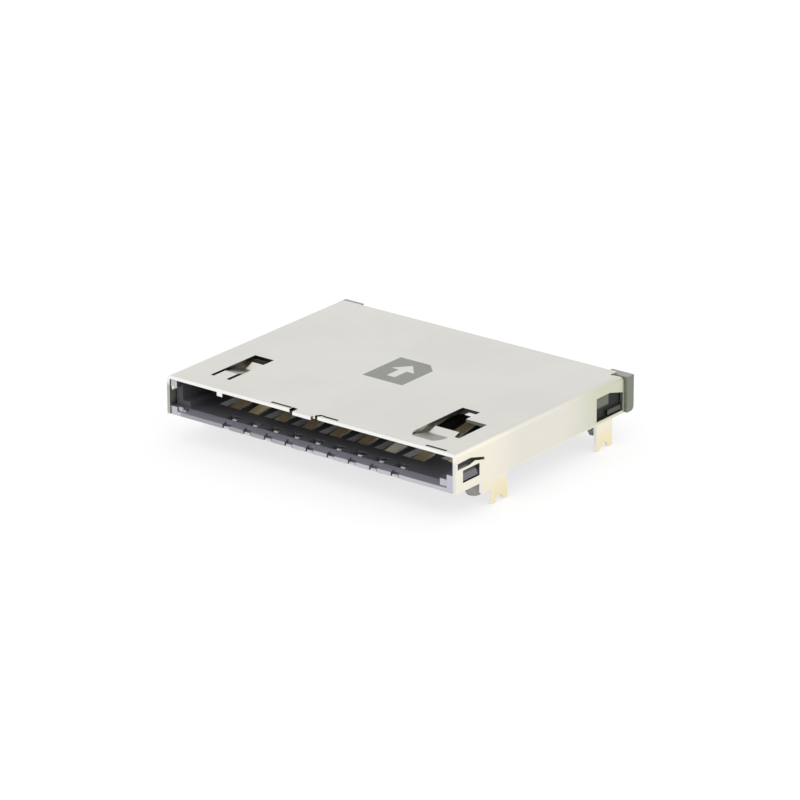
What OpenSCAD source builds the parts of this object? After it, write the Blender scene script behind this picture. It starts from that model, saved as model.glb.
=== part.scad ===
// Push-in board socket for a full-size memory card.
// A moulded insulator carries nine sprung contacts and two side switches under one
// folded sheet-metal shell, which stands on four forked solder legs.
// Sizes are in millimetres. X runs across the card, +Y is the way the card goes in
// and +Z is up. z = 0 is the board, and the origin is under the middle of the shell.

/* [Card] */
// Width of the card across its two edge flanges
card_w = 24; // [22:0.5:26]
// Thickness of the card
card_t = 2.1; // [1.9:0.1:2.8]
// Width of the thin flange along each edge of the card
card_flange_w = 0.75; // [0.6:0.05:1]
// Height of the flanges above the underside of the card
card_flange_rise = 0.7; // [0.6:0.05:0.9]
// How far the card goes in, from the front edge of the shell to the stop
card_reach = 17.25; // [17:0.25:20]
// Size of the cut corner of the card, along each edge
card_cut = 4; // [3:0.25:4.5]
// Clearance beside the card, on each side
card_side_gap = 0.15; // [0.1:0.05:0.25]
// Clearance over the card
card_top_gap = 0.12; // [0.08:0.02:0.3]
// Clearance between the rails and the thick middle of the card
rail_gap = 0.2; // [0.15:0.05:0.3]

/* [Shell] */
// Thickness of the metal sheet
sheet_t = 0.25; // [0.2:0.01:0.3]
// Outside radius of the two long folds
fold_r = 0.35; // [0.3:0.05:1]
// Gap between the shell and the housing inside it
shell_fit = 0.05; // [0.03:0.01:0.08]
// How far the forked legs reach below the board
leg_drop = 2.05; // [1.6:0.05:2.8]
// Width of each prong of a forked leg
prong_w = 0.48; // [0.4:0.02:0.6]
// Height of the notch between the prongs
notch_h = 0.52; // [0.48:0.02:0.8]
// How far the cut carrier tab stands out of the front edge
tab_reach = 0.3; // [0.15:0.05:0.4]

/* [Spring fingers] */
// Width of the slit on each side of a finger
finger_slit = 0.3; // [0.16:0.02:0.36]
// Width of the left finger
left_finger_w = 1.16; // [1:0.02:1.6]
// How far the left finger dips below the plate
left_finger_dip = 0.55; // [0.3:0.05:0.7]
// Width of the right finger
right_finger_w = 2.1; // [1.5:0.1:2.4]
// How far the right finger dips below the plate
right_finger_dip = 0.45; // [0.4:0.05:1]

/* [Housing] */
// Thickness of the floor
floor_t = 0.5; // [0.46:0.02:0.7]
// Thickness of the web left in the floor under each contact beam
web_t = 0.15; // [0.1:0.01:0.2]
// Thickness of the side arms
arm_t = 0.55; // [0.5:0.05:0.7]
// Height of the right arm over the board
arm_h = 1.7; // [1.6:0.05:1.9]
// Length of the lead-in slope on the front lip
lip_slope = 0.62; // [0.5:0.02:0.9]
// Height of the upright face of the front lip
lip_face_h = 0.3; // [0.15:0.01:0.4]
// Thickness of the block that stops the card
stop_t = 2.8; // [2.4:0.1:3.4]
// How far the rear corner posts stand behind the shell
post_reach = 0.8; // [0.6:0.1:1.4]
// How far the rear corner posts stand out beside the shell
post_overhang = 0.2; // [0.1:0.05:0.3]
// Length of the locating pegs below the board face
peg_h = 1.7; // [1.2:0.1:1.8]
// Radius of the front locating pegs
front_peg_r = 0.65; // [0.5:0.05:0.65]
// Radius of the rear locating pegs
rear_peg_r = 0.45; // [0.4:0.05:0.65]
// Distance of the pegs from the side faces of the housing
peg_inset = 1.5; // [1.5:0.05:1.7]

/* [Contacts] */
// Thickness of the contact strip
contact_t = 0.2; // [0.14:0.02:0.22]
// Spacing of the contact beams
beam_pitch = 2.5; // [2.4:0.05:2.5]
// Spacing of the last beam from its neighbour
last_beam_pitch = 1.7; // [1.6:0.05:1.75]
// Width of a contact beam at its root
beam_w = 0.9; // [0.7:0.05:0.95]
// Width of a contact beam at its tip
beam_tip_w = 0.6; // [0.5:0.05:0.7]
// Slope of the beams
beam_angle = 8; // [6:0.5:9]
// Distance from the front edge of the shell to the top of each beam
beam_reach = 12.4; // [11:0.2:12.8]
// Gap between a beam and each side of its slot
beam_gap = 0.3; // [0.2:0.02:0.32]
// Spacing of the solder tails
tail_pitch = 1.9; // [1.8:0.05:2]
// Width of a solder tail
tail_w = 0.5; // [0.4:0.05:0.6]
// How far the ends of the tails lie behind the face of the lip
tail_setback = 0.05; // [0:0.01:0.1]
// Clearance round metal that is set in the plastic
metal_fit = 0.02; // [0.01:0.01:0.03]

/* [Side springs] */
// Thickness of the side springs and their terminals
spring_t = 0.15; // [0.12:0.01:0.18]
// Height of the side springs
spring_h = 0.8; // [0.6:0.05:0.9]
// How far the springs reach into the card's path
spring_bump = 0.45; // [0.3:0.05:0.6]
// Place of the write-protect switch behind the front edge
write_protect_y = 7; // [6.8:0.1:7]
// Place of the card-detect switch behind the front edge
card_detect_y = 13.35; // [13.3:0.05:13.6]
// Place of the card lock spring behind the front edge
card_lock_y = 9; // [8:0.25:12]

/* [Hidden] */
$fn = 48;

// Colours
nickel = [0.86, 0.85, 0.82];
black_plastic = [0.17, 0.17, 0.19];
gold = [0.83, 0.68, 0.38];
spring_bronze = [0.8, 0.66, 0.42];

// Widths and heights that follow from the card
card_side = card_w / 2 + card_side_gap;
rail_side = card_w / 2 - card_flange_w + rail_gap;
rail_top = floor_t + card_flange_rise - rail_gap;
housing_side = card_side + arm_t;
shell_w = 2 * (housing_side + shell_fit + sheet_t);
shell_h = floor_t + card_t + card_top_gap + sheet_t;
shell_depth = card_reach + stop_t;
least_corner_r = 0.02;
ceiling = shell_h - sheet_t;
housing_top = ceiling - shell_fit;

// The front lip lies just behind the front edge of the shell
lip_y = 0.1;
post_y = shell_depth + shell_fit;

// Bends of the stamped strips
bend_steps = 4;
through = 5;

// The nine contacts, numbered from the cut corner of the card to the left
contact_count = 9;
even_beams = 7;
beam_step = 0.075;
beam_row_w = even_beams * beam_pitch + last_beam_pitch - beam_step;
beam_row_offset = 0.3375;
first_beam_x = beam_row_offset + beam_row_w / 2;
tail_flat = 1.05;
hump_front = 1.25;
hump_rear = 1.45;
hump_dip = 0.03;
anchor_front = 1.75;
anchor_rise = 0.12;
anchor_z = contact_t / 2 + anchor_rise;
hump_z = floor_t - hump_dip - contact_t / 2;
jog_front = 1.6;
jog_rear = 2.65;
slot_start = 2.7;
first_slot_start = 3.9;
beam_tip_reach = 1.2;
beam_tip_dip = 0.45;
beam_top_z = anchor_z + (beam_reach - jog_rear) * tan(beam_angle);
slot_end = beam_reach + beam_tip_reach + 3 * beam_gap;
web_front = 1;
slot_bevel_w = 0.4;
slot_bevel_h = 0.2;
pocket_margin = 0.06;
pocket_end = 1.62;
pocket_w = 0.7;
notch_l = 0.4;

// The side springs lie in the arms, above the rails
spring_x = card_side + arm_t / 2;
spring_z = rail_top + rail_gap;
spring_root = 3.6;
spring_grip = 1.1;
spring_nose = 0.9;
terminal_front = 2.5;
terminal_end = 0.4;
foot_w = 0.7;
foot_reach = 0.45;

// Legs, pegs and windows of the shell, as distances behind its front edge
leg_root = 0.4;
front_leg_y = 4.15;
front_leg_w = 1.85;
front_tab_y = 3.05;
front_tab_drop = 0.85;
rear_leg_w = 1.92;
side_window = [0.85, 2.75, 0.64, 1.56];
side_slit = [
    [0.24, 1.76], [0.24, 2.22], [1.72, 2.26], [3.3, 1.84],
    [3.3, 1.64], [2.2, 1.9], [1.6, 1.76]
];
rear_window_l = 3.2;
rear_window_margin = 0.23;
rear_window_y = shell_depth - rear_window_margin - rear_window_l;
rear_leg_y = rear_window_y;
rear_window_z = 0.25;
rear_window = [[0, 0], [0, 1.78], [1.6, 1.8], [rear_window_l, 1.37], [rear_window_l, 0]];
pad_l = 1.5;
pad_split = 0.9;
rear_pad_h = 0.45;
rear_notch_w = 0.7;
rear_notch_r = 0.95;
front_peg_y = 4.45;
rear_peg_back = 1.3;
rear_peg_y = shell_depth - rear_peg_back;
left_window_inset = 1.5;
left_window_x = left_window_inset - card_w / 2;
left_window_front = 1.9;
left_window_rear = 6.95;
left_root = 1.3;
left_tip_y = 6.3;
left_tip_l = 0.9;
left_tip_rise = 0.3;
right_window_inset = 4.15;
right_window_x = card_w / 2 - right_window_inset;
right_window_w = 3.4;
right_window_front = 0.9;
right_window_wide = 2.7;
right_window_mid = 5.95;
right_window_rear = 7.6;
right_window_rear_w = 1.55;
right_root = 0.3;
right_tip_y = 4.1;
right_tip_l = 0.8;
right_tip_rise = 0.25;
finger_overlap = 0.4;

// Small marks of the press tool at the front edge of the plate
crease_y = 0.26;
crease_w = 0.09;
crease_h = 0.08;
creases = [[-3.6, -1.75], [1.1, 2.45], [10.2, 12]];
nib_x = -8.1;
nib_w = 0.5;
nib_h = 0.3;

// The cut carrier tab and the relief cuts beside it, as distances from the tab
tab_left = 1.2;
tab_right = 0.45;
left_relief_w = 0.5;
left_relief_l = 0.42;
right_relief = [[0, -1], [0, 0], [0.4, 0.5], [0.75, 0.5], [0.3, -0.1], [0.3, -1]];

// Widths of the rear corner posts
left_post_w = 1.7;
right_post_w = 1.9;

// The recess at the front end of the left arm
recess_l = 0.75;
recess_low = 0.65;
recess_high = 2.13;
lead_in_w = 0.33;

// Place of beam n: the first eight share one pitch, apart from a narrow step at the eighth
function beam_x(n) = first_beam_x - beam_pitch * min(n, even_beams)
    - last_beam_pitch * max(n - even_beams, 0) + (n >= even_beams ? beam_step : 0);
function tail_x(n) = tail_pitch * ((contact_count - 1) / 2 - n);

// A strip of even thickness along a path: corners are mitred
function unit(v) = v / norm(v);
function left_of(v) = [-v.y, v.x];
function side_line(path, off) = [
    for (i = [0 : len(path) - 1])
        let (
            into = unit(path[max(i, 1)] - path[max(i, 1) - 1]),
            out = unit(path[min(i + 1, len(path) - 1)] - path[min(i, len(path) - 2)]),
            normal = left_of(into) + left_of(out)
        )
        path[i] + off * 2 * normal / (normal * normal)
];
function backwards(list) = [for (i = [len(list) - 1 : -1 : 0]) list[i]];
function strip(path, t) = concat(side_line(path, t / 2), backwards(side_line(path, -t / 2)));

// The same path with its inner corners rounded to radius r
function turned(v, a) = [v.x * cos(a) - v.y * sin(a), v.x * sin(a) + v.y * cos(a)];
function corner(a, b, c, r) =
    let (
        into = unit(b - a),
        out = unit(c - b),
        side = sign(into.x * out.y - into.y * out.x),
        angle = acos(into * out),
        start = b - into * r * tan(angle / 2),
        centre = start + side * r * left_of(into)
    )
    [for (k = [0 : bend_steps]) centre + turned(start - centre, side * angle * k / bend_steps)];
function rounded(path, r) = [
    path[0],
    for (i = [1 : len(path) - 2]) each corner(path[i - 1], path[i], path[i + 1], r),
    path[len(path) - 1]
];

// Moves a shape from the front edge of the shell to the frame of the part
module in_frame() {
    translate([0, -shell_depth / 2, 0]) children();
}

// Box between two corners
module block(low, high) {
    translate(low) cube(high - low);
}

// Outline in Y and Z, extruded across X
module across(x0, x1) {
    translate([x0, 0, 0]) rotate([90, 0, 90]) linear_extrude(x1 - x0) children();
}

// Both sides of the part
module both_sides() {
    children();
    mirror([1, 0, 0]) children();
}

// Solid with the section of the folded shell, set in by a distance
module shell_form(inset, y0, y1, z0) {
    side = shell_w / 2 - inset;
    top = shell_h - inset;
    r = max(fold_r - inset, least_corner_r);
    block([-side, y0, z0], [side, y1, top - r]);
    block([-side + r, y0, z0], [side - r, y1, top]);
    both_sides()
        translate([side - r, y0, top - r])
            rotate([-90, 0, 0])
                cylinder(r = r, h = y1 - y0);
}

// Forked solder leg in Y and Z: two round-ended prongs with an arched notch between them
module fork(y0, w) {
    tip_r = 0.16;
    notch_r = w / 2 - prong_w;
    translate([y0, -leg_drop])
        difference() {
            union() {
                translate([0, tip_r]) square([w, leg_drop + leg_root - tip_r]);
                for (y = [0, w - prong_w]) {
                    translate([y + tip_r, 0]) square([prong_w - 2 * tip_r, tip_r]);
                    translate([y + tip_r, tip_r]) circle(tip_r);
                    translate([y + prong_w - tip_r, tip_r]) circle(tip_r);
                }
            }
            translate([prong_w, -1]) square([2 * notch_r, 1 + notch_h - notch_r]);
            translate([w / 2, notch_h - notch_r]) circle(notch_r);
        }
}

// The pair of forked legs on one side wall, with the shoulder of the front one
module side_legs() {
    across(shell_w / 2 - sheet_t, shell_w / 2) {
        fork(front_leg_y, front_leg_w);
        fork(rear_leg_y, rear_leg_w);
        translate([front_tab_y, -front_tab_drop])
            square([front_leg_y - front_tab_y + prong_w, front_tab_drop + leg_root]);
    }
}

// Windows in a side wall: one for the snap wedge, a slit over it and one for the rear pad
module wall_windows() {
    w = side_window;
    across(shell_w / 2 - 2 * sheet_t, shell_w / 2 + sheet_t) {
        translate([w[0], w[2]]) square([w[1] - w[0], w[3] - w[2]]);
        polygon(side_slit);
        translate([rear_window_y, rear_window_z]) polygon(rear_window);
    }
}

// Opening of the left spring finger
module left_window() {
    translate([left_window_x, left_window_front])
        square([left_finger_w + 2 * finger_slit, left_window_rear - left_window_front]);
}

// Opening of the right spring finger: round at the front, wide beside the tip, stepped behind
module right_window() {
    r = right_finger_w / 2 + finger_slit;
    translate([right_window_x, 0]) {
        translate([r, right_window_front + r]) circle(r);
        translate([0, right_window_front + r]) {
            square([2 * r, right_window_wide - right_window_front - r + 0.01]);
            square([right_window_rear_w, right_window_rear - right_window_front - r]);
        }
        translate([0, right_window_wide])
            square([right_window_w, right_window_mid - right_window_wide]);
    }
}

// Finger bent down out of the plate behind a flat root, with its tip turned up again
module finger(x0, w, y0, root, y1, tip_l, dip, rise) {
    z = shell_h - sheet_t / 2;
    path = [
        [y0 - finger_overlap, z],
        [y0 + root, z],
        [y1 - tip_l, z - dip],
        [y1, z - dip + rise]
    ];
    across(x0, x0 + w) polygon(strip(rounded(path, 0.6), sheet_t));
}

// Fine grooves along the front edge of the plate
module crease_cuts() {
    for (x = creases)
        block([x[0], crease_y, shell_h - crease_h], [x[1], crease_y + crease_w, shell_h + 1]);
}

// Rounded cut that shows the moulding at the right rear corner
module rear_notch() {
    difference() {
        block(
            [shell_w / 2 - rear_notch_w, shell_depth - rear_notch_r, shell_h - rear_notch_r],
            [shell_w, shell_depth + 1, shell_h + 1]
        );
        translate([0, shell_depth - rear_notch_r, shell_h - rear_notch_r])
            rotate([0, 90, 0])
                cylinder(r = rear_notch_r, h = 2 * shell_w);
    }
}

// Small coined nib that points down from the front edge of the plate
module nib() {
    across(nib_x - nib_w / 2, nib_x + nib_w / 2)
        polygon([[0, ceiling + 0.1], [0, ceiling - nib_h], [nib_h, ceiling + 0.1]]);
}

// One sheet: plate, folds, side walls, legs and fingers
module shell() color(nickel) in_frame() {
    difference() {
        union() {
            difference() {
                shell_form(0, 0, shell_depth, 0);
                shell_form(sheet_t, -1, shell_depth + 1, -1);
            }
            both_sides() side_legs();
            nib();
            block([-tab_left, -tab_reach, ceiling], [tab_right, 1, shell_h]);
        }
        translate([0, 0, ceiling - 0.2]) linear_extrude(2 * sheet_t + 0.2) {
            left_window();
            right_window();
            // Relief cuts beside the carrier tab
            translate([-tab_left - left_relief_w, -1]) square([left_relief_w, 1 + left_relief_l]);
            translate([tab_right, 0]) polygon(right_relief);
        }
        rear_notch();
        crease_cuts();
        both_sides() wall_windows();
        // Room for the feet of the switches under the left wall
        for (y = switch_feet())
            block(
                [-shell_w / 2 - 1, y - foot_w / 2 - shell_fit * 2, -1],
                [-shell_w / 2 + 2 * sheet_t, y + foot_w / 2 + shell_fit * 2, spring_t + 0.15]
            );
    }
    finger(
        left_window_x + finger_slit, left_finger_w, left_window_front,
        left_root, left_tip_y, left_tip_l, left_finger_dip, left_tip_rise
    );
    finger(
        right_window_x + finger_slit, right_finger_w, right_window_front,
        right_root, right_tip_y, right_tip_l, right_finger_dip, right_tip_rise
    );
}

// Middles of the switches' feet behind the front edge
function spring_foot(y) = y + spring_root - foot_w / 2;
function terminal_foot(y) = y - terminal_front + foot_w / 2;
function switch_feet() = [
    for (y = [write_protect_y, card_detect_y]) each [spring_foot(y), terminal_foot(y)]
];

// Outline of contact n as it is cut from the strip, grown by a margin
module contact_outline(n, grow) {
    tail = tail_w / 2 + grow;
    beam = beam_w / 2 + grow;
    tip = beam_tip_w / 2 + grow;
    rows = [
        [tail_x(n), tail, lip_y + tail_setback - grow],
        [tail_x(n), tail, jog_front],
        [beam_x(n), beam, jog_rear],
        [beam_x(n), beam, jog_rear + 1.5],
        [beam_x(n), tip, beam_reach + beam_tip_reach + grow]
    ];
    polygon(concat(
        [for (r = rows) [r[0] - r[1], r[2]]],
        backwards([for (r = rows) [r[0] + r[1], r[2]]])
    ));
}

// Side view of a contact: tail, hump, anchor, rising beam and turned-down tip
module contact_bend(grow) {
    path = [
        [lip_y + tail_setback - 2 * grow, contact_t / 2],
        [tail_flat, contact_t / 2],
        [hump_front, hump_z],
        [hump_rear, hump_z],
        [anchor_front, anchor_z],
        [jog_rear, anchor_z],
        [beam_reach, beam_top_z],
        [beam_reach + beam_tip_reach + 2 * grow, beam_top_z - beam_tip_dip]
    ];
    polygon(strip(rounded(path, 0.16), contact_t + 2 * grow));
}

// One stamped contact
module contact_form(n, grow) {
    side = abs(beam_x(n)) + beam_pitch;
    intersection() {
        across(-side, side) contact_bend(grow);
        translate([0, 0, -1]) linear_extrude(through) contact_outline(n, grow);
    }
}

module contact(n) color(gold) in_frame() contact_form(n, 0);

module contact_9() { contact(0); }
module contact_1() { contact(1); }
module contact_2() { contact(2); }
module contact_3() { contact(3); }
module contact_4() { contact(4); }
module contact_5() { contact(5); }
module contact_6() { contact(6); }
module contact_7() { contact(7); }
module contact_8() { contact(8); }

// Path of a side spring in X and Y, along the right arm
function spring_path(y) = [
    [spring_x, y + spring_root],
    [spring_x, y + spring_root - spring_grip],
    [card_side - spring_bump, y + 0.3],
    [card_side + 0.02, y - spring_nose]
];

// Side spring with its nose in the card's path
module side_spring(y) {
    translate([0, 0, spring_z])
        linear_extrude(spring_h)
            polygon(strip(rounded(spring_path(y), 0.3), spring_t));
}

// Upright pin with a foot that passes out under the shell
module foot(y) {
    block(
        [spring_x - spring_t / 2, y - foot_w / 2, 0],
        [spring_x + spring_t / 2, y + foot_w / 2, spring_z + spring_h]
    );
    block(
        [spring_x - spring_t / 2, y - foot_w / 2, 0],
        [shell_w / 2 + foot_reach, y + foot_w / 2, spring_t]
    );
}

// Sprung half of a switch
module switch_spring(y) color(spring_bronze) in_frame() mirror([1, 0, 0]) {
    side_spring(y);
    foot(spring_foot(y));
}

// Fixed half of a switch: a straight blade beside the spring's nose
module switch_terminal(y) color(spring_bronze) in_frame() mirror([1, 0, 0]) {
    block(
        [spring_x - spring_t / 2, y - terminal_front, spring_z],
        [spring_x + spring_t / 2, y - terminal_end, spring_z + spring_h]
    );
    foot(terminal_foot(y));
}

module write_protect_spring() { switch_spring(write_protect_y); }
module write_protect_terminal() { switch_terminal(write_protect_y); }
module card_detect_spring() { switch_spring(card_detect_y); }
module card_detect_terminal() { switch_terminal(card_detect_y); }

// Spring that holds the card by the notch in its right edge
module card_lock_spring() color(spring_bronze) in_frame() {
    side_spring(card_lock_y);
    block(
        [spring_x - spring_t / 2, card_lock_y + spring_root - foot_w, floor_t / 2],
        [spring_x + spring_t / 2, card_lock_y + spring_root, spring_z + spring_h]
    );
}

// Room for a side spring in an arm: a grip slot at its root and a free pocket
module spring_room(y, front) {
    grip = spring_t / 2 + metal_fit;
    block(
        [spring_x - grip, y + spring_root - spring_grip - 0.01, spring_z - metal_fit],
        [spring_x + grip, y + spring_root + metal_fit, shell_h]
    );
    block(
        [card_side - 1, y - front, spring_z - 0.1],
        [spring_x + grip + 0.05, y + spring_root - spring_grip, shell_h]
    );
}

// Room for an upright pin and its foot
module foot_room(y) {
    grip = spring_t / 2 + metal_fit;
    block(
        [spring_x - grip, y - foot_w / 2 - metal_fit, -1],
        [spring_x + grip, y + foot_w / 2 + metal_fit, shell_h]
    );
    block(
        [spring_x - grip, y - foot_w / 2 - metal_fit, -1],
        [shell_w, y + foot_w / 2 + metal_fit, spring_t + metal_fit]
    );
}

// Floor with the lead-in slope of the front lip
module floor_form() {
    across(-housing_side, housing_side)
        polygon([
            [lip_y, 0],
            [lip_y, lip_face_h],
            [lip_y + lip_slope, floor_t],
            [post_y, floor_t],
            [post_y, 0]
        ]);
}

// Rails and arms: the left arm is full height, the right one is stepped
module guides() {
    rail_front = lip_y + 0.15;
    both_sides()
        across(rail_side, card_side + 0.1)
            polygon([
                [rail_front, 0.1],
                [rail_front, rail_top - 0.15],
                [rail_front + 0.5, rail_top],
                [card_reach + 0.1, rail_top],
                [card_reach + 0.1, 0.1]
            ]);
    across(card_side, housing_side)
        polygon([
            [lip_y, 0],
            [lip_y, 1.3],
            [side_window[0] - 0.2, 1.3],
            [side_window[0] + 0.1, arm_h],
            [card_reach, arm_h],
            [card_reach, 0]
        ]);
    block(
        [card_side, card_lock_y + spring_root - spring_grip, 0],
        [housing_side, card_lock_y + spring_root + 0.5, shell_h]
    );
    block([-housing_side, lip_y, 0], [-card_side, card_reach, shell_h]);
}

// Recess and lead-in at the front end of the left rail and arm
module left_mouth() {
    block([-shell_w, -1, recess_low], [lead_in_w - rail_side, recess_l, recess_high]);
    translate([0, 0, floor_t])
        linear_extrude(recess_low)
            polygon([
                [-rail_side - lead_in_w, -1],
                [-rail_side - lead_in_w, lip_y],
                [-rail_side, recess_l],
                [1 - rail_side, recess_l],
                [1 - rail_side, -1]
            ]);
}

// Block that stops the card, cored from behind, with a wedge for the cut corner
module stop_block() {
    difference() {
        block([-housing_side, card_reach, 0], [housing_side, post_y, shell_h]);
        cores();
    }
    linear_extrude(shell_h)
        polygon([
            [card_side + 0.1, card_reach - card_cut],
            [card_side + 0.1, card_reach + 0.1],
            [card_side - card_cut, card_reach + 0.1],
            [card_side - card_cut, card_reach],
            [card_side, card_reach - card_cut]
        ]);
}

// Row of pockets that keep the moulding's walls even
module cores() {
    count = 7;
    rib = 0.8;
    left = -housing_side + 2.4;
    right = housing_side - 2.4;
    pitch = (right - left + rib) / count;
    for (i = [0 : count - 1])
        block(
            [left + i * pitch, card_reach + rib, floor_t],
            [left + (i + 1) * pitch - rib, post_y + 1, housing_top - 0.55]
        );
}

// Side view of a rear corner post, rounded at its lower rear corner
module post_side() {
    r = 0.35;
    translate([post_y, 0]) {
        translate([0, r]) square([post_reach, ceiling - r]);
        square([post_reach - r, ceiling]);
        translate([post_reach - r, r]) circle(r);
    }
}

// Corner posts behind the shell, level with the underside of the plate
module posts() {
    side = shell_w / 2 + post_overhang;
    across(-side, -side + left_post_w) post_side();
    across(side - right_post_w, side) post_side();
}

// Wedge that snaps into the front window of a side wall, and the pads in the rear one
module snaps() {
    gap = 0.1;
    root = housing_side - 0.1;
    w = side_window;
    intersection() {
        across(root, shell_w / 2)
            polygon([
                [w[0] + gap, w[2] + gap],
                [w[1] - gap, w[2] + gap],
                [w[1] - 4 * gap, w[3] - gap],
                [w[0] + gap, w[3] - gap]
            ]);
        translate([0, w[1], 0])
            rotate([90, 0, 0])
                linear_extrude(w[1] - w[0])
                    polygon([
                        [root, w[2]],
                        [shell_w / 2 - 0.07, w[2]],
                        [shell_w / 2 - 0.07, w[2] + 0.5],
                        [root, w[3]]
                    ]);
    }
    // The front pad lies high in the rear window and the rear pad low
    across(root, shell_w / 2 - 0.12)
        translate([rear_window_y, rear_window_z]) {
            translate([gap, pad_split]) square([pad_l, rear_window[1].y - gap - pad_split]);
            translate([pad_l, gap]) square([rear_window_l - gap - pad_l, rear_pad_h - gap]);
        }
}

// Locating peg with a tapered end
module peg(y, r) {
    taper = 0.3;
    x = housing_side - peg_inset;
    translate([x, y, -peg_h + taper]) cylinder(r = r, h = peg_h - taper + 0.1);
    translate([x, y, -peg_h]) cylinder(r1 = r - taper / 2, r2 = r, h = taper);
}

// Moulded insulator
module housing() color(black_plastic) in_frame() {
    difference() {
        union() {
            intersection() {
                union() {
                    floor_form();
                    guides();
                    stop_block();
                }
                shell_form(sheet_t + shell_fit, -1, post_y + 1, -1);
            }
            posts();
            both_sides() snaps();
        }
        left_mouth();
        for (n = [0 : contact_count - 1]) contact_room(n);
        mirror([1, 0, 0]) {
            for (y = [write_protect_y, card_detect_y]) {
                spring_room(y, terminal_front - foot_w - 0.1);
                block(
                    [
                        spring_x - spring_t / 2 - metal_fit,
                        y - terminal_front - metal_fit,
                        spring_z - metal_fit
                    ],
                    [spring_x + spring_t / 2 + metal_fit, y, shell_h]
                );
                foot_room(spring_foot(y));
                foot_room(terminal_foot(y));
            }
        }
        spring_room(card_lock_y, spring_nose + 0.3);
        block(
            [
                spring_x - spring_t / 2 - metal_fit,
                card_lock_y + spring_root - foot_w - metal_fit,
                floor_t / 2 - metal_fit
            ],
            [spring_x + spring_t / 2 + metal_fit, card_lock_y + spring_root + metal_fit, shell_h]
        );
    }
    both_sides() {
        peg(front_peg_y, front_peg_r);
        peg(rear_peg_y, rear_peg_r);
    }
}

// Room for contact n: its bed in the floor, its slot, its view pocket and the lip notch
module contact_room(n) {
    start = n == 0 ? first_slot_start : slot_start;
    half_slot = beam_w / 2 + beam_gap;
    half_notch = tail_w / 2 + 0.1;
    slot_x = [beam_x(n) - half_slot, beam_x(n) + half_slot];
    slot_top = floor_t + 0.1;
    intersection() {
        contact_form(n, metal_fit);
        block([-shell_w, -1, -1], [shell_w, start + 0.1, shell_h]);
    }
    // The slot is open at both ends, and a thin web closes the rest of it
    block([slot_x[0], start, web_t], [slot_x[1], slot_end, slot_top]);
    block([slot_x[0], start, -1], [slot_x[1], start + web_front, slot_top]);
    block([slot_x[0], beam_reach, -1], [slot_x[1], slot_end, slot_top]);
    if (n != even_beams) slot_bevel(slot_x[0], start);
    block(
        [tail_x(n) - pocket_w, lip_y + lip_slope + pocket_margin, -1],
        [tail_x(n) + tail_w / 2 + 0.05, pocket_end, slot_top]
    );
    block([tail_x(n) - half_notch, -1, -1], [tail_x(n) + half_notch, lip_y + notch_l, slot_top]);
}

// Bevel along the left edge of a slot, except where the rib beside it is narrow
module slot_bevel(x, start) {
    translate([x, slot_end, floor_t])
        rotate([90, 0, 0])
            linear_extrude(slot_end - start)
                polygon([[0.1, -slot_bevel_h], [0, -slot_bevel_h], [-slot_bevel_w, 0], [0.1, 0.1]]);
}

shell();
housing();
contact_9();
contact_1();
contact_2();
contact_3();
contact_4();
contact_5();
contact_6();
contact_7();
contact_8();
write_protect_spring();
write_protect_terminal();
card_detect_spring();
card_detect_terminal();
card_lock_spring();
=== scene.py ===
"""Looks of a push-in board socket for a full-size memory card.

A satin nickel sheet-metal shell stands on forked legs over a dark moulded base with
gilt contacts. Every length is in metres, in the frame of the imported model: +X across
the card, +Y the way the card goes in, +Z up, and z = 0 on the board.
"""

import math
from functools import cached_property

import bpy
import numpy as np
from mathutils import Matrix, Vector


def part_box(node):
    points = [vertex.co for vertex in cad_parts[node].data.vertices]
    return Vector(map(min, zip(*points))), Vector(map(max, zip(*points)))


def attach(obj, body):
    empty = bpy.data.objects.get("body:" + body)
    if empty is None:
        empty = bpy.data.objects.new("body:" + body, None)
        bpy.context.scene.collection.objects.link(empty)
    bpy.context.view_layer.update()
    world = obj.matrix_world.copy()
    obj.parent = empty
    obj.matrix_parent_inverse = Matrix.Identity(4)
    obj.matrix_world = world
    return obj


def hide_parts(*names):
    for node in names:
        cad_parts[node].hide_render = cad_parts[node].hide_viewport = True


MM = 0.001

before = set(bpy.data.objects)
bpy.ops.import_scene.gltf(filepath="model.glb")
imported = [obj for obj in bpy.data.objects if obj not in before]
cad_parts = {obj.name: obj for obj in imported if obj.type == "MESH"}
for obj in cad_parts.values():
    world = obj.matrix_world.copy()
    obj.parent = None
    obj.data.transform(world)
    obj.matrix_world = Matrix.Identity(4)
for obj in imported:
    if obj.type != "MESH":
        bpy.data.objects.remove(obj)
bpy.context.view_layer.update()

# Edges and levels of the solids, read off the frame
SHELL_LOW, SHELL_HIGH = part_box("shell")
HOUSING_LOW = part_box("housing")[0]
WALL_X, REAR_Y, PLATE_TOP = SHELL_HIGH
MOUTH_Y = -REAR_Y
FLOOR_Z = min(SHELL_LOW[2], HOUSING_LOW[2])


def millimetres(*lengths):
    """Lengths or places given in millimetres, in metres."""
    return tuple(length * MM for length in lengths)


def behind_mouth(*distances):
    """Y of places that lie so many millimetres behind the front edge."""
    return tuple(MOUTH_Y + distance * MM for distance in distances)


def before_rear(*distances):
    """Y of places that lie so many millimetres before the rear edge."""
    return tuple(REAR_Y - distance * MM for distance in distances)


def inside_wall(*distances):
    """X of places that lie so many millimetres inside the outer face of the right wall."""
    return tuple(WALL_X - distance * MM for distance in distances)


def shade(colour, factor):
    """A colour made darker or lighter."""
    return tuple(factor * channel for channel in colour)


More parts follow.
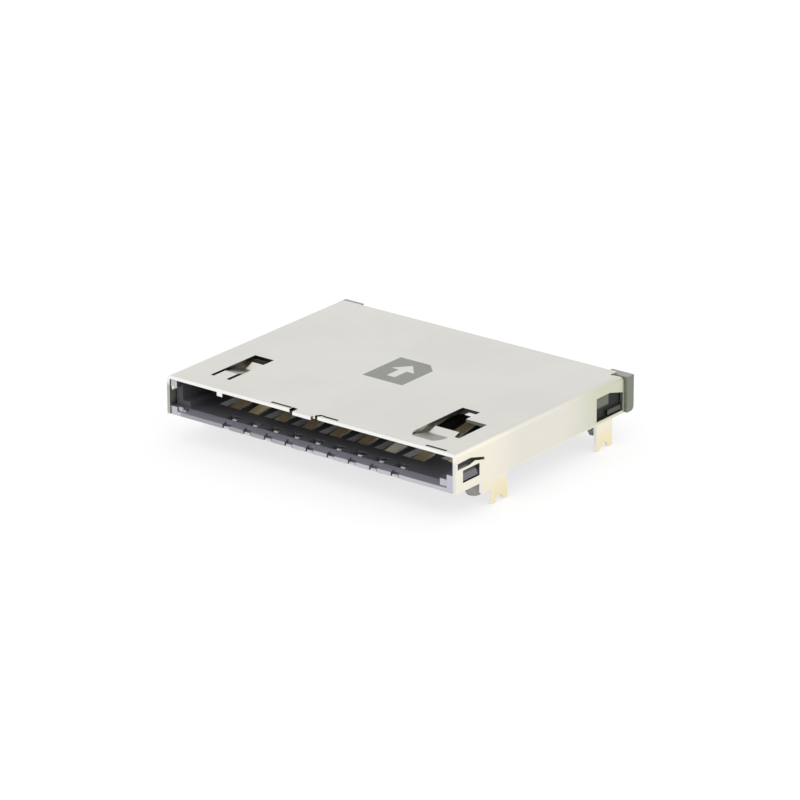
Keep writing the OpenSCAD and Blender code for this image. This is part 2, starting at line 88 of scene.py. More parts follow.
# Camera, as fitted to the corners of the shell in the photograph. Only its sensor is in
# millimetres, because Blender asks for it so.
PHOTO_SIZE = 800
FOCAL_PIXELS = 5082
OPTICAL_AXIS_PIXEL = (404.2, 392.1)
VIEW_AZIMUTH = math.radians(37.85)
VIEW_ELEVATION = math.radians(20.81)
VIEW_ROLL = math.radians(-0.20)
VIEW_DISTANCE = 365.5 * MM
VIEW_TARGET = np.array([0, MOUTH_Y + 11 * MM, 1.3 * MM])
VIEW_NEAR = 5 * MM
VIEW_FAR = 20
SENSOR_WIDTH = 36

# Square lamps that look at the origin: each one's name, place, size, power and colour
WHITE = (1, 1, 1)
WARM_WHITE = (1.0, 0.96, 0.88)
LAMPS = (
    ("front_softbox", (0.25, -0.55, 0.45), 1.4, 1.0, WHITE),
    ("side_softbox", (0.6, 0.05, 0.35), 0.9, 0.45, WARM_WHITE),
)

# World and floor: the glow makes the floor white where it is seen, and lights nothing
WORLD_STRENGTH = 1.0
FLOOR_HALF_WIDTH = 1.5
FLOOR_TONE = (0.28, 0.28, 0.28)
FLOOR_GLOW = 0.73

# Tones of the nickel sheet, as linear colours
NICKEL = (0.71, 0.695, 0.655)
SMUDGED_NICKEL = shade(NICKEL, 0.965)
# Painted light: the walls lighter than the plate, a cream highlight near the mouth and on the legs,
# olive towards the rear
LIT_WALL_NICKEL = (0.80, 0.78, 0.70)
WALL_CREAM_HIGHLIGHT = (0.905, 0.86, 0.74)
WALL_OLIVE = (0.655, 0.665, 0.525)
# Painted shade in the sheet's hollows
SHADED_NICKEL = (0.13, 0.14, 0.11)
# Painted highlights on the sheared edges, greyer on the walls, and painted shade on the left wall's
# edge
SHEARED_EDGE_HIGHLIGHT = (0.93, 0.93, 0.91)
WALL_EDGE = (0.76, 0.77, 0.75)
SHADED_LEFT_WALL_EDGE = (0.46, 0.47, 0.42)
# Painted shade in the pressed line along the front edge
PRESSED_LINE_SHADE = (0.05, 0.055, 0.045)
# Painted shade on the window edges, and a painted highlight on the front right window edges
SHADED_WINDOW_EDGE = (0.10, 0.10, 0.085)
LIT_FRONT_WINDOW_EDGE = (0.48, 0.48, 0.42)
# Gilt solder plating on the legs
LEG_GILT = (0.92, 0.81, 0.49)
# Painted shade on slopes that face away from the front
FAR_SLOPE_SHADE = (0.30, 0.31, 0.27)
# Printed mark on the plate
MARK_GREY = (0.26, 0.27, 0.235)

# Tones of the moulding
MOULDING = (0.046, 0.046, 0.052)
DARK_MOULDING = shade(MOULDING, 0.8)
LIGHT_MOULDING = shade(MOULDING, 1.2)
# Painted light: the moulding made lighter near the mouth and on its outer edges
PAINTED_LIGHT_MOULDING = shade(MOULDING, 4)
# Painted light on the outer faces, lighter on the post tops, pads and wedges, and less of it on the
# shaded ledges
LIT_OUTER_MOULDING = (0.275, 0.305, 0.245)
LIT_POST_TOP = (0.31, 0.30, 0.29)
LIT_PAD_GREY = (0.225, 0.245, 0.18)
LIT_WEDGE_GREY = (0.225, 0.22, 0.235)
SHADED_LEDGE_GREY = (0.10, 0.10, 0.09)
# Painted highlight on the back wall of the left arm, and painted shade in the side recesses
BACK_WALL_HIGHLIGHT = (0.62, 0.62, 0.60)
RECESS_SHADE = (0.003, 0.007, 0.001)
# Painted light on the pegs under the board
LIT_PEG_GREY = (0.84, 0.83, 0.85)
# Painted light on the slot bevels and on the slope and face of the lip, less on the lip's left part
LIT_SLOT_BEVEL = (0.38, 0.38, 0.42)
LIT_LIP_SLOPE = (0.225, 0.22, 0.265)
LIT_LIP_FACE = (0.76, 0.75, 0.83)
SHADED_LEFT_LIP_FACE = (0.50, 0.50, 0.53)

# Tones of the contacts and springs
GILT = (0.86, 0.70, 0.44)
DULL_GILT = shade(GILT, 0.92)
# Painted highlights on one beam and on the cut sides of the contacts
LIT_BEAM_GILT = (0.94, 0.91, 0.78)
SHEARED_SIDE_HIGHLIGHT = (0.93, 0.90, 0.80)
# Tin plating, and the spring strip
TIN = (0.58, 0.58, 0.60)
BRONZE = (0.88, 0.72, 0.44)
DULL_BRONZE = shade(BRONZE, 0.85)
# Painted shade on the front part of the springs
SHADED_SPRING_ROOT = (0.55, 0.55, 0.57)

# Where the nickel sheet changes its tone. Here and below, the change starts at a pair's
# first value and is complete at its second, and a facing is how far a face points that way.
SMUDGE_RANGE = (0.35, 0.7)
CREAM_Y = behind_mouth(8, 3.6)
OLIVE_Y = behind_mouth(12, 18)
IN_AIR_Z = millimetres(0.2, -0.1)
LEG_Z = millimetres(0.3, -1.6)
WALL_FACING_X = (0.4, 0.95)
OPEN_AIR_REACH = 2.5 * MM
OPEN_AIR_RANGE = (0.1, 0.75)
INSIDE_X = WALL_X - 0.5 * MM
FAR_SLOPE_FACING_Y = (0.05, 0.15)
FAR_SLOPE_FACING_Z = (0.5, 0.7)
SHEARED_FACING_Y = (0.93, 0.99)
UPPER_EDGE_Z = millimetres(2.1, 2.6)
WINDOW_FACING_Z = (0.5, 0.3)

# Bands of the nickel sheet with sharp ends, where shade is painted: the pressed line along the front
# edge of the plate, the stretches where it shows from above, and the part that has the windows.
PLATE_FACE_Z = PLATE_TOP - 0.02 * MM
UNDER_SHEET_Z = PLATE_TOP - 0.3 * MM
PRESSED_Y = behind_mouth(0.1, 0.7)
PRESSED_ABOVE_Y = behind_mouth(0.19, 0.43)
PRESSED_ABOVE_X = (millimetres(-3.6, -1.75), millimetres(1.1, 2.45), millimetres(10.2, 12))
WINDOW_Y = (MOUTH_Y + 0.8 * MM, REAR_Y - 0.5 * MM)

# Where the moulding is painted lighter outside the shell, and painted into shade in the side recesses
OUTSIDE_X = inside_wall(0.2, 0.1)
OUTSIDE_Y = before_rear(-0.02, -0.05)
CORNER_X = inside_wall(1.4, 1.3)
CORNER_Y = before_rear(1.2, 1.1)
CORNER_Z = millimetres(1.9, 2.0)
POST_FACING_Z = (0.8, 0.9)
PAD_Y = before_rear(0.05, 0.1)
LEDGE_Z = millimetres(1.3, 1.2)
WEDGE_Y = behind_mouth(13, 12)
PEG_Z = millimetres(-0.05, -0.2)
RECESS_X = inside_wall(2.6, 2.5)
RECESS_Y = behind_mouth(14, 14.2)
RECESS_FACING_Z = (0.6, 0.4)

# The back wall of the left arm, painted with a highlight, which has sharp ends
BACK_WALL_X = -11.9 * MM
BACK_WALL_Y = behind_mouth(8.5, 12)
BACK_WALL_Z = 1 * MM

# Where the moulding is painted lighter in the mouth, and less so on the lip's left part
MOUTH_LIGHT_Y = behind_mouth(3.5, 0.9)
BEVEL_FACING_X = (0.3, 0.4)
BEVEL_FACING_Z = (0.8, 0.85)
BEVEL_Z = millimetres(0.6, 0.55)
SLOPE_Y = behind_mouth(1.1, 0.98)
SLOPE_FACING_Y = (-0.1, -0.2)
SLOPE_Z = millimetres(0.55, 0.51)
LIP_Y = behind_mouth(0.45, 0.35)
LIP_FACING_Y = (-0.9, -0.97)
LIP_LIGHT_X = millimetres(-5, 1)
LEFT_RAIL_X = millimetres(-11.8, -11.9)

# Where the contacts and springs change their tone, the springs' front part with painted shade, and
# the two sides of the lit beam
TINNED_TAIL_Y = behind_mouth(2.3, 1.9)
CONTACT_SIDE_FACING_X = (0.9, 0.99)
TINNED_FOOT_Z = millimetres(0.5, 0.2)
SPRING_ROOT_Y = behind_mouth(6.8, 6.6)
LIT_BEAM_X = millimetres(4.2, 5.5)

# Roughness of each finish, and what its grain adds
SHEET_ROUGHNESS = 0.27
SHEET_LINES_ROUGHNESS = 0.12
SHEET_SMUDGE_ROUGHNESS = 0.04
MOULDING_ROUGHNESS = 0.40
MOULDING_FINE_ROUGHNESS = 0.18
CONTACT_ROUGHNESS = 0.30
CONTACT_LINES_ROUGHNESS = 0.10
SPRING_ROUGHNESS = 0.2
SPRING_LINES_ROUGHNESS = 0.2

# How far a contact is a metal where it is gilt, and what that loses on the lit beam
GILT_METALLIC = 0.7
LIT_BEAM_METALLIC_LOSS = 0.6

# Depth of each finish's grain, and how much the fine noise counts beside the sheet's lines
SHEET_DEPTH = 0.0016 * MM
SHEET_FINE_SHARE = 0.35
MOULDING_DEPTH = 0.004 * MM
CONTACT_DEPTH = 0.0006 * MM
SPRING_DEPTH = 0.0015 * MM

# Painted edge highlights: reach from the edge, and how far the rounded normal turns there
SHEET_EDGE_HIGHLIGHT_REACH = 0.05 * MM
MOULDING_EDGE_HIGHLIGHT_REACH = 0.04 * MM
EDGE_HIGHLIGHT_TURN = (0.0, 0.25)

# The printed mark on the plate: a plain card with an arrow the way it goes in
MARK_CENTRE = (-0.05 * MM, MOUTH_Y + 10.75 * MM)
MARK_HALF = millimetres(1.8, 2.25)
MARK_CORNER = 0.9 * MM
ARROW_HALF_WIDTH = 0.36 * MM
ARROW_SHAFT_Y = millimetres(-1.25, 0.15)
ARROW_TIP_Y = 1.35 * MM
ARROW_SLOPE = 0.85

# Copies of the solids: their points are merged, flat faces joined and edges broken
WELD_DISTANCE = 0.0002 * MM
FLAT_ANGLE = math.radians(0.4)
BROKEN_EDGE_WIDTH = 0.03 * MM
BROKEN_EDGE_ANGLE = math.radians(40)
BROKEN_EDGE_STEPS = 2

# Nodes of the frame that keep their own mesh
CONTACTS = tuple(f"contact_{number}" for number in range(1, 10))
SPRINGS = (
    "write_protect_spring",
    "write_protect_terminal",
    "card_detect_spring",
    "card_detect_terminal",
    "card_lock_spring",
)

# Sockets of a Mix node that blends colours
MIX_FACTOR = 0
MIX_A = 6
MIX_B = 7
MIX_RESULT = 2


class Graph:
    """A shader tree with short calls for adding nodes and joining them."""

    def __init__(self, tree):
        self.tree = tree

    def add(self, kind, inputs=(), **settings):
        """Adds a node, sets its properties and fills or links its inputs."""
        node = self.tree.nodes.new(kind)
        for name, value in settings.items():
            setattr(node, name, value)
        for key, value in dict(inputs).items():
            self.feed(node.inputs[key], value)
        return node

    def feed(self, socket, value):
        """Links an output to the socket, or sets the socket's own value."""
        if isinstance(value, bpy.types.NodeSocket):
            self.tree.links.new(value, socket)
        elif socket.type == "RGBA":
            socket.default_value = (*value, 1)
        else:
            socket.default_value = value

    @cached_property
    def place(self):
        """Object coordinates of the shaded point."""
        return self.add("ShaderNodeTexCoord").outputs["Object"]

    @cached_property
    def axis(self):
        """X, Y and Z of the shaded point."""
        return self.add("ShaderNodeSeparateXYZ", {0: self.place}).outputs

    @cached_property
    def facing(self):
        """X, Y and Z of the face's own direction."""
        normal = self.add("ShaderNodeNewGeometry").outputs["True Normal"]
        return self.add("ShaderNodeSeparateXYZ", {0: normal}).outputs

    def math(self, operation, a, b=0.0, clamp=False):
        """One step of arithmetic on numbers or sockets."""
        node = self.add("ShaderNodeMath", operation=operation, use_clamp=clamp)
        self.feed(node.inputs[0], a)
        self.feed(node.inputs[1], b)
        return node.outputs[0]

    def absolute(self, value):
        """A value without its sign."""
        return self.math("ABSOLUTE", value)

    def plus(self, base, *terms):
        """A base value, plus each term's mask times its amount."""
        for mask, amount in terms:
            base = self.math("ADD", base, self.math("MULTIPLY", mask, amount))
        return base

    def inverse(self, mask):
        """One less the mask."""
        return self.math("SUBTRACT", 1.0, mask)

    def above(self, value, limit):
        """One where the value is over the limit, else zero."""
        return self.math("GREATER_THAN", value, limit)

    def under(self, value, limit):
        """One where the value is under the limit, else zero."""
        return self.math("LESS_THAN", value, limit)

    def within(self, value, low, high):
        """One where low < value < high, else zero."""
        return self.both(self.above(value, low), self.under(value, high))

    def both(self, *masks):
        """Product of several masks."""
        product = masks[0]
        for mask in masks[1:]:
            product = self.math("MULTIPLY", product, mask)
        return product

    def either(self, *masks):
        """Largest of several masks."""
        largest = masks[0]
        for mask in masks[1:]:
            largest = self.math("MAXIMUM", largest, mask)
        return largest

    def ramp(self, value, low, high, out_low=0.0, out_high=1.0):
        """Maps low..high of a value smoothly to out_low..out_high."""
        node = self.add("ShaderNodeMapRange", interpolation_type="SMOOTHSTEP")
        for key, number in enumerate((value, low, high, out_low, out_high)):
            self.feed(node.inputs[key], number)
        return node.outputs[0]

    def mix(self, mask, a, b, share=1.0):
        """Lays colour b over colour a where the mask is, up to the given share."""
        if share < 1.0:
            mask = self.math("MULTIPLY", mask, share)
        inputs = {MIX_FACTOR: mask, MIX_A: a, MIX_B: b}
        return self.add("ShaderNodeMix", inputs, data_type="RGBA").outputs[MIX_RESULT]


def new_group(name, inputs, outputs):
    """Makes an empty shader group of plain numbers and returns its graph, entry and exit."""
    tree = bpy.data.node_groups.new(name, "ShaderNodeTree")
    for label, value in inputs:
        socket = tree.interface.new_socket(label, in_out="INPUT", socket_type="NodeSocketFloat")
        socket.default_value = value
    for label in outputs:
        tree.interface.new_socket(label, in_out="OUTPUT", socket_type="NodeSocketFloat")
    graph = Graph(tree)
    return graph, graph.add("NodeGroupInput"), graph.add("NodeGroupOutput")


def grain_group():
    """Rolled or moulded surface grain: stretched noise, fine noise and broad smudges."""
    g, entry, out = new_group(
        "surface_grain",
        [("Line Scale", 900), ("Line Stretch", 12), ("Fine Scale", 9000), ("Smudge Scale", 160)],
        ["Lines", "Fine", "Smudge"],
    )
    along = g.math("DIVIDE", g.axis["Y"], entry.outputs["Line Stretch"])
    parts = {"X": g.axis["X"], "Y": along, "Z": g.axis["Z"]}
    stretched = g.add("ShaderNodeCombineXYZ", parts).outputs[0]
    for label, scale, vector, detail in (
        ("Lines", "Line Scale", stretched, 5.0),
        ("Fine", "Fine Scale", g.place, 2.0),
        ("Smudge", "Smudge Scale", g.place, 3.0),
    ):
        inputs = {"Vector": vector, "Scale": entry.outputs[scale], "Detail": detail}
        noise = g.add("ShaderNodeTexNoise", inputs)
        g.feed(out.inputs[label], noise.outputs["Fac"])
    return g.tree


def edge_group():
    """Mask of outer edges, where highlights are painted: how far a rounded normal turns away from the
    face's own.
    """
    g, entry, out = new_group("edge_highlight_mask", [("Radius", SHEET_EDGE_HIGHLIGHT_REACH)], ["Edge"])
    soft = g.add("ShaderNodeBevel", {"Radius": entry.outputs["Radius"]}, samples=4).outputs[0]
    flat = g.add("ShaderNodeNewGeometry").outputs["Normal"]
    same = g.add("ShaderNodeVectorMath", {0: soft, 1: flat}, operation="DOT_PRODUCT").outputs["Value"]
    turned = g.math("SUBTRACT", 1.0, same, clamp=True)
    g.feed(out.inputs["Edge"], g.ramp(turned, *EDGE_HIGHLIGHT_TURN))
    return g.tree


GRAIN = grain_group()
EDGE = edge_group()


def new_material(name):
    """A material with one Principled shader, and its graph."""
    material = bpy.data.materials.new(name)
    material.use_nodes = True
    return material, Graph(material.node_tree), material.node_tree.nodes["Principled BSDF"]


def set_shader(graph, shader, **values):
    """Fills the shader's sockets: underscores in a name stand for spaces."""
    for name, value in values.items():
        graph.feed(shader.inputs[name.replace("_", " ").title().replace("Ior", "IOR")], value)


def grain(graph, **scales):
    """Places the grain group with its own scales."""
    node = graph.add("ShaderNodeGroup", node_tree=GRAIN)
    for name, value in scales.items():
        node.inputs[name.replace("_", " ").title()].default_value = value
    return node.outputs


def edges(graph, radius):
    """Places the edge group with its own radius."""
    node = graph.add("ShaderNodeGroup", node_tree=EDGE)
    node.inputs["Radius"].default_value = radius
    return node.outputs["Edge"]


def bump(graph, height, depth):
    """Normal bent by a height."""
    return graph.add("ShaderNodeBump", {"Height": height, "Distance": depth}).outputs["Normal"]


def painted_wall_light(g, near_mouth, in_air):
    """Side walls painted lighter than the plate, with a painted cream highlight near the mouth and on
    the legs, olive towards the rear.
    """
    wall = g.mix(g.ramp(g.axis["Y"], *OLIVE_Y), LIT_WALL_NICKEL, WALL_OLIVE)
    return g.mix(g.either(near_mouth, in_air), wall, WALL_CREAM_HIGHLIGHT)


def open_mask(g, in_air):
    """One where the sheet stands in the open air, and less in its hollows, which are painted into
    shade.
    """
    occlusion = g.add("ShaderNodeAmbientOcclusion", {"Distance": OPEN_AIR_REACH}, samples=8)
    return g.either(g.ramp(occlusion.outputs["AO"], *OPEN_AIR_RANGE), in_air)


def cut_highlight_tone(g, on_right, in_air):
    """Sheared edges painted as highlights: bright at the plate and on the legs, greyer on the walls,
    shaded on the left wall.
    """
    cut = g.mix(on_right, SHADED_LEFT_WALL_EDGE, WALL_EDGE)
    cut = g.mix(g.ramp(g.axis["Z"], *UPPER_EDGE_Z), cut, SHEARED_EDGE_HIGHLIGHT)
    return g.mix(in_air, cut, SHEARED_EDGE_HIGHLIGHT)


def pressed_shade_mask(g, inside):
    """One on the pressed line along the front edge, and where it shows from above: there shade is
    painted.
    """
    line = g.both(
        g.within(g.axis["Y"], *PRESSED_Y),
        g.within(g.axis["Z"], UNDER_SHEET_Z, PLATE_FACE_Z),
        inside,
    )
    from_above = g.both(
        g.either(*(g.within(g.axis["X"], *ends) for ends in PRESSED_ABOVE_X)),
        g.within(g.axis["Y"], *PRESSED_ABOVE_Y),
        g.above(g.axis["Z"], PLATE_FACE_Z),
    )
    return g.either(line, from_above)


def window_shade_mask(g, inside):
    """One on the edges of the windows and dipped fingers in the plate, where shade is painted."""
    return g.both(
        inside,
        g.ramp(g.absolute(g.facing["Z"]), *WINDOW_FACING_Z),
        g.within(g.axis["Y"], *WINDOW_Y),
        g.above(g.axis["Z"], UNDER_SHEET_Z),
    )


def mark_mask(g):
    """One inside the printed mark: a card with a cut corner, less the arrow on it."""
    x = g.math("SUBTRACT", g.axis["X"], MARK_CENTRE[0])
    y = g.math("SUBTRACT", g.axis["Y"], MARK_CENTRE[1])
    half_x, half_y = MARK_HALF
    shaft_end = ARROW_SHAFT_Y[1]
    aside = g.absolute(x)
    card = g.both(
        g.under(aside, half_x),
        g.within(y, -half_y, half_y),
        g.under(g.math("ADD", x, y), half_x + half_y - MARK_CORNER),
        g.above(g.axis["Z"], PLATE_FACE_Z),
    )
    shaft = g.both(g.under(aside, ARROW_HALF_WIDTH), g.within(y, *ARROW_SHAFT_Y))
    head_half_width = g.math("MULTIPLY", g.math("SUBTRACT", ARROW_TIP_Y, y), ARROW_SLOPE)
    head = g.both(g.under(aside, head_half_width), g.above(y, shaft_end))
    return g.math("SUBTRACT", card, g.either(shaft, head), clamp=True)


def nickel_sheet():
    """Satin rolled nickel with gilt solder plating on the legs, painted highlights on edges and
    walls, and painted shade in hollows, pressed lines, window edges and far slopes.
    """
    material, g, shader = new_material("nickel_sheet")
    texture = grain(g, line_scale=2600, line_stretch=14, fine_scale=26000, smudge_scale=170)
    smudge = g.ramp(texture["Smudge"], *SMUDGE_RANGE)
    near_mouth = g.ramp(g.axis["Y"], *CREAM_Y)
    in_air = g.ramp(g.axis["Z"], *IN_AIR_Z)
    inside = g.under(g.absolute(g.axis["X"]), INSIDE_X)
    on_right = g.above(g.axis["X"], 0.0)

    colour = g.mix(smudge, NICKEL, SMUDGED_NICKEL)
    # Painted light on the walls, lighter than the plate, with a cream highlight near the mouth and on
    # the legs
    on_wall = g.ramp(g.absolute(g.facing["X"]), *WALL_FACING_X)
    colour = g.mix(on_wall, colour, painted_wall_light(g, near_mouth, in_air))
    colour = g.mix(g.ramp(g.axis["Z"], *LEG_Z), colour, LEG_GILT, share=0.75)
    # Painted shade in the hollows of the sheet
    colour = g.mix(open_mask(g, in_air), SHADED_NICKEL, colour)
    # Painted shade on slopes that face away from the front
    far_slope_shade = g.both(
        inside,
        g.ramp(g.facing["Y"], *FAR_SLOPE_FACING_Y),
        g.ramp(g.facing["Z"], *FAR_SLOPE_FACING_Z),
    )
    colour = g.mix(far_slope_shade, colour, FAR_SLOPE_SHADE)

    # Painted highlights on the sheared edges, and at half strength on all outer edges
    cut = cut_highlight_tone(g, on_right, in_air)
    colour = g.mix(g.ramp(g.absolute(g.facing["Y"]), *SHEARED_FACING_Y), colour, cut)
    colour = g.mix(edges(g, SHEET_EDGE_HIGHLIGHT_REACH), colour, cut, share=0.5)
    # Painted shade in the pressed line along the front edge
    colour = g.mix(pressed_shade_mask(g, inside), colour, PRESSED_LINE_SHADE)
    # Painted shade on the window edges, and a painted highlight on the front right window edges
    painted_window_edge = g.mix(g.both(on_right, near_mouth), SHADED_WINDOW_EDGE, LIT_FRONT_WINDOW_EDGE)
    colour = g.mix(window_shade_mask(g, inside), colour, painted_window_edge)
    colour = g.mix(mark_mask(g), colour, MARK_GREY)

    rough = g.plus(
        SHEET_ROUGHNESS, (texture["Lines"], SHEET_LINES_ROUGHNESS), (smudge, SHEET_SMUDGE_ROUGHNESS),
    )
    height = g.plus(texture["Lines"], (texture["Fine"], SHEET_FINE_SHARE))
    set_shader(
        g, shader, base_color=colour, metallic=1.0, roughness=rough,
        normal=bump(g, height, SHEET_DEPTH),
    )
    return material


def recess_tones(g, colour):
    """Adds painted shade in the side recesses and a painted highlight on the back wall of the left
    arm to a colour.
    """
    recess = g.both(
        g.ramp(g.absolute(g.axis["X"]), *RECESS_X),
        g.ramp(g.axis["Y"], *RECESS_Y),
        g.ramp(g.absolute(g.facing["Z"]), *RECESS_FACING_Z),
    )
    colour = g.mix(recess, colour, RECESS_SHADE)
    back_wall = g.both(
        g.under(g.axis["X"], BACK_WALL_X),
        g.within(g.axis["Y"], *BACK_WALL_Y),
        g.above(g.axis["Z"], BACK_WALL_Z),
    )
    return g.mix(back_wall, colour, BACK_WALL_HIGHLIGHT)


def outside_mask(g):
    """One beside and behind the shell, and in the plate's cut right rear corner."""
    corner = g.both(
        g.ramp(g.axis["X"], *CORNER_X),
        g.ramp(g.axis["Y"], *CORNER_Y),
        g.ramp(g.axis["Z"], *CORNER_Z),
    )
    beside = g.ramp(g.absolute(g.axis["X"]), *OUTSIDE_X)
    return g.either(beside, g.ramp(g.axis["Y"], *OUTSIDE_Y), corner)


def painted_outside_light(g):
    """Light painted on the outer faces: the rear posts, lighter on their tops, the pads, the wedges,
    and less on the ledges.
    """
    tone = g.mix(g.ramp(g.facing["Z"], *POST_FACING_Z), LIT_OUTER_MOULDING, LIT_POST_TOP)
    pad = g.ramp(g.axis["Y"], *PAD_Y)
    tone = g.mix(pad, tone, LIT_PAD_GREY)
    tone = g.mix(g.both(pad, g.ramp(g.axis["Z"], *LEDGE_Z)), tone, SHADED_LEDGE_GREY)
    return g.mix(g.ramp(g.axis["Y"], *WEDGE_Y), tone, LIT_WEDGE_GREY)


def mouth_tones(g, colour):
    """Adds painted light on the bevels of the contact slots and the slope and face of the lip, less
    on its left part.
    """
    bevel = g.both(
        g.ramp(g.facing["X"], *BEVEL_FACING_X),
        g.ramp(g.facing["Z"], *BEVEL_FACING_Z),
        g.ramp(g.axis["Z"], *BEVEL_Z),
    )
    colour = g.mix(bevel, colour, LIT_SLOT_BEVEL)
    slope = g.both(
        g.ramp(g.axis["Y"], *SLOPE_Y),
        g.ramp(g.facing["Y"], *SLOPE_FACING_Y),
        g.ramp(g.axis["Z"], *SLOPE_Z),
    )
    colour = g.mix(slope, colour, LIT_LIP_SLOPE)
    face = g.both(g.ramp(g.axis["Y"], *LIP_Y), g.ramp(g.facing["Y"], *LIP_FACING_Y))
    face_tone = g.mix(g.ramp(g.axis["X"], *LIP_LIGHT_X), SHADED_LEFT_LIP_FACE, LIT_LIP_FACE)
    face_tone = g.mix(g.ramp(g.axis["X"], *LEFT_RAIL_X), face_tone, LIT_LIP_FACE)
    return g.mix(face, colour, face_tone)


def moulded_plastic():
    """Matt glass-filled dark moulding, painted lighter outside, near the mouth, on the front lip and
    edges, and painted into shade in the recesses.
    """
    material, g, shader = new_material("moulded_plastic")
    texture = grain(g, line_scale=1500, line_stretch=3, fine_scale=14000, smudge_scale=420)
    colour = g.mix(texture["Smudge"], DARK_MOULDING, LIGHT_MOULDING)
    # Painted light on the moulding near the mouth
    colour = g.mix(g.ramp(g.axis["Y"], *MOUTH_LIGHT_Y), colour, PAINTED_LIGHT_MOULDING, share=0.5)
    # Painted shade in the side recesses, and a painted highlight on the back wall of the left arm
    colour = recess_tones(g, colour)
    # Painted light on the moulding's outer faces
    colour = g.mix(outside_mask(g), colour, painted_outside_light(g))
    # Painted light on the pegs under the board
    colour = g.mix(g.ramp(g.axis["Z"], *PEG_Z), colour, LIT_PEG_GREY)
    # Painted light on the slot bevels and the lip, with painted shade on the lip's left part
    colour = mouth_tones(g, colour)
    # Painted highlight on the moulding's outer edges
    colour = g.mix(edges(g, MOULDING_EDGE_HIGHLIGHT_REACH), colour, PAINTED_LIGHT_MOULDING, share=0.25)
    rough = g.plus(MOULDING_ROUGHNESS, (texture["Fine"], MOULDING_FINE_ROUGHNESS))
    set_shader(
        g, shader, base_color=colour, roughness=rough, specular_ior_level=0.35,
        normal=bump(g, texture["Fine"], MOULDING_DEPTH),
    )
    return material


def contact_plating():
    """Gold flash on the beams, and tin on the anchors and solder tails; one beam and the cut sides
    have painted highlights.
    """
    material, g, shader = new_material("contact_plating")
    texture = grain(g, line_scale=5200, line_stretch=18, fine_scale=26000, smudge_scale=700)
    tinned = g.ramp(g.axis["Y"], *TINNED_TAIL_Y)
    sheared = g.ramp(g.absolute(g.facing["X"]), *CONTACT_SIDE_FACING_X)
    lit_beam = g.both(g.within(g.axis["X"], *LIT_BEAM_X), g.inverse(tinned))
    colour = g.mix(texture["Smudge"], GILT, DULL_GILT)
    # Painted highlight on one beam
    colour = g.mix(lit_beam, colour, LIT_BEAM_GILT)
    colour = g.mix(tinned, colour, TIN)
    # Painted highlight on the cut sides of the contacts
    colour = g.mix(sheared, colour, SHEARED_SIDE_HIGHLIGHT, share=0.8)
    rough = g.plus(CONTACT_ROUGHNESS, (texture["Lines"], CONTACT_LINES_ROUGHNESS))
    metallic = g.ramp(tinned, 0.0, 1.0, GILT_METALLIC, 1.0)
    metallic = g.plus(metallic, (lit_beam, -LIT_BEAM_METALLIC_LOSS))
    set_shader(
        g, shader, base_color=colour, metallic=g.both(metallic, g.inverse(sheared)), roughness=rough,
        normal=bump(g, texture["Lines"], CONTACT_DEPTH),
    )
    return material


def spring_bronze():
    """Bright rolled spring strip, with tin on the feet below the moulding and painted shade on its
    front part.
    """
    material, g, shader = new_material("spring_bronze")
    texture = grain(g, line_scale=5000, line_stretch=16, fine_scale=26000, smudge_scale=700)
    colour = g.mix(texture["Smudge"], BRONZE, DULL_BRONZE)
    # Painted shade on the front part of the spring
    colour = g.mix(g.ramp(g.axis["Y"], *SPRING_ROOT_Y), colour, SHADED_SPRING_ROOT)
    colour = g.mix(g.ramp(g.axis["Z"], *TINNED_FOOT_Z), colour, TIN)
    rough = g.plus(SPRING_ROUGHNESS, (texture["Lines"], SPRING_LINES_ROUGHNESS))
    set_shader(
        g, shader, base_color=colour, metallic=0.4, roughness=rough,
        normal=bump(g, texture["Lines"], SPRING_DEPTH),
    )
    return material


def seen_rays(g):
    """One for camera, glossy and transmission rays, zero for the light that fills the scene."""
    path = g.add("ShaderNodeLightPath").outputs
    return g.either(path["Is Camera Ray"], path["Is Glossy Ray"], path["Is Transmission Ray"])


def floor_white():
    """Matt floor that keeps the socket's shadow and shows white."""
    material, g, shader = new_material("floor_white")
    set_shader(
        g, shader, base_color=FLOOR_TONE, roughness=0.9, specular_ior_level=0.0,
        emission_color=WHITE, emission_strength=g.math("MULTIPLY", seen_rays(g), FLOOR_GLOW),
    )
    return material


def paint(mesh, material):
    """Gives a mesh one material and no other."""
    mesh.materials.clear()
    mesh.materials.append(material)


def add_object(name, data):
    """Adds an object to the scene."""
    item = bpy.data.objects.new(name, data)
    bpy.context.scene.collection.objects.link(item)
    return item


def dress(node, material):
    """Stands for a CAD node: the same faces, merged, with its edges softly broken."""
    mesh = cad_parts[node].data.copy()
    piece = add_object(node + "_finish", mesh)
    paint(mesh, material)
    weld = piece.modifiers.new("weld", "WELD")
    weld.merge_threshold = WELD_DISTANCE
    flat = piece.modifiers.new("flat", "DECIMATE")
    flat.decimate_type = "DISSOLVE"
    flat.angle_limit = FLAT_ANGLE
    soft = piece.modifiers.new("soft", "BEVEL")
    soft.width = BROKEN_EDGE_WIDTH
    soft.segments = BROKEN_EDGE_STEPS
    soft.limit_method = "ANGLE"
    soft.angle_limit = BROKEN_EDGE_ANGLE
    soft.use_clamp_overlap = True
    soft.harden_normals = True
    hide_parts(node)
    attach(piece, "root")


def aimed(place, away, roll=0.0):
    """Matrix of a camera or lamp: its place, and the direction that it looks away from."""
    side = np.cross([0, 0, 1], away)
    side /= np.linalg.norm(side)
    up = np.cross(away, side)
    side = side * math.cos(roll) + up * math.sin(roll)
    turn = Matrix(np.column_stack([side, np.cross(away, side), away]).tolist()).to_4x4()
    return Matrix.Translation(place) @ turn


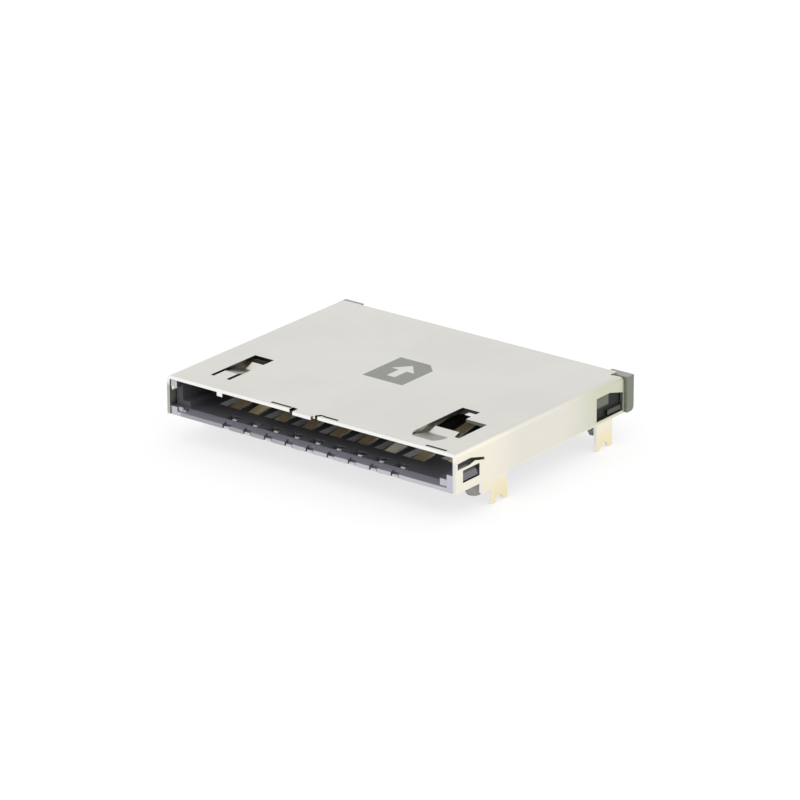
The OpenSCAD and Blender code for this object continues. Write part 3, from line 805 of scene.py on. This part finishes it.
def add_camera():
    """Camera at the photograph's place: the distance, roll and shift come from the fit."""
    away = np.array([
        math.sin(VIEW_AZIMUTH) * math.cos(VIEW_ELEVATION),
        -math.cos(VIEW_AZIMUTH) * math.cos(VIEW_ELEVATION),
        math.sin(VIEW_ELEVATION),
    ])
    data = bpy.data.cameras.new("camera")
    data.sensor_width = SENSOR_WIDTH
    data.lens = FOCAL_PIXELS / PHOTO_SIZE * SENSOR_WIDTH
    data.shift_x = -(OPTICAL_AXIS_PIXEL[0] - PHOTO_SIZE / 2) / PHOTO_SIZE
    data.shift_y = (OPTICAL_AXIS_PIXEL[1] - PHOTO_SIZE / 2) / PHOTO_SIZE
    data.clip_start = VIEW_NEAR
    data.clip_end = VIEW_FAR
    camera = add_object("camera", data)
    camera.matrix_world = aimed(VIEW_TARGET + VIEW_DISTANCE * away, away, VIEW_ROLL)
    bpy.context.scene.camera = camera


def add_lamp(name, place, size, power, colour):
    """Square area lamp that looks at the origin."""
    data = bpy.data.lights.new(name, "AREA")
    data.size = size
    data.energy = power
    data.color = colour
    lamp = add_object(name, data)
    lamp.matrix_world = aimed(place, np.array(place) / np.linalg.norm(place))


def add_world():
    """Plain white world."""
    world = bpy.data.worlds.new("studio")
    world.use_nodes = True
    bpy.context.scene.world = world
    g = Graph(world.node_tree)
    background = world.node_tree.nodes["Background"]
    g.feed(background.inputs["Color"], WHITE)
    g.feed(background.inputs["Strength"], WORLD_STRENGTH)


def add_floor():
    """Large white floor under the legs."""
    signs = ((-1, -1), (1, -1), (1, 1), (-1, 1))
    corners = [(FLOOR_HALF_WIDTH * x, FLOOR_HALF_WIDTH * y, FLOOR_Z) for x, y in signs]
    mesh = bpy.data.meshes.new("floor")
    mesh.from_pydata(corners, [], [(0, 1, 2, 3)])
    floor = add_object("floor", mesh)
    paint(mesh, floor_white())


add_camera()
add_world()
add_floor()
for lamp_values in LAMPS:
    add_lamp(*lamp_values)

dress("shell", nickel_sheet())
dress("housing", moulded_plastic())
for names, finish in ((CONTACTS, contact_plating()), (SPRINGS, spring_bronze())):
    for name in names:
        paint(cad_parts[name].data, finish)

bpy.context.scene.view_settings.view_transform = "Standard"
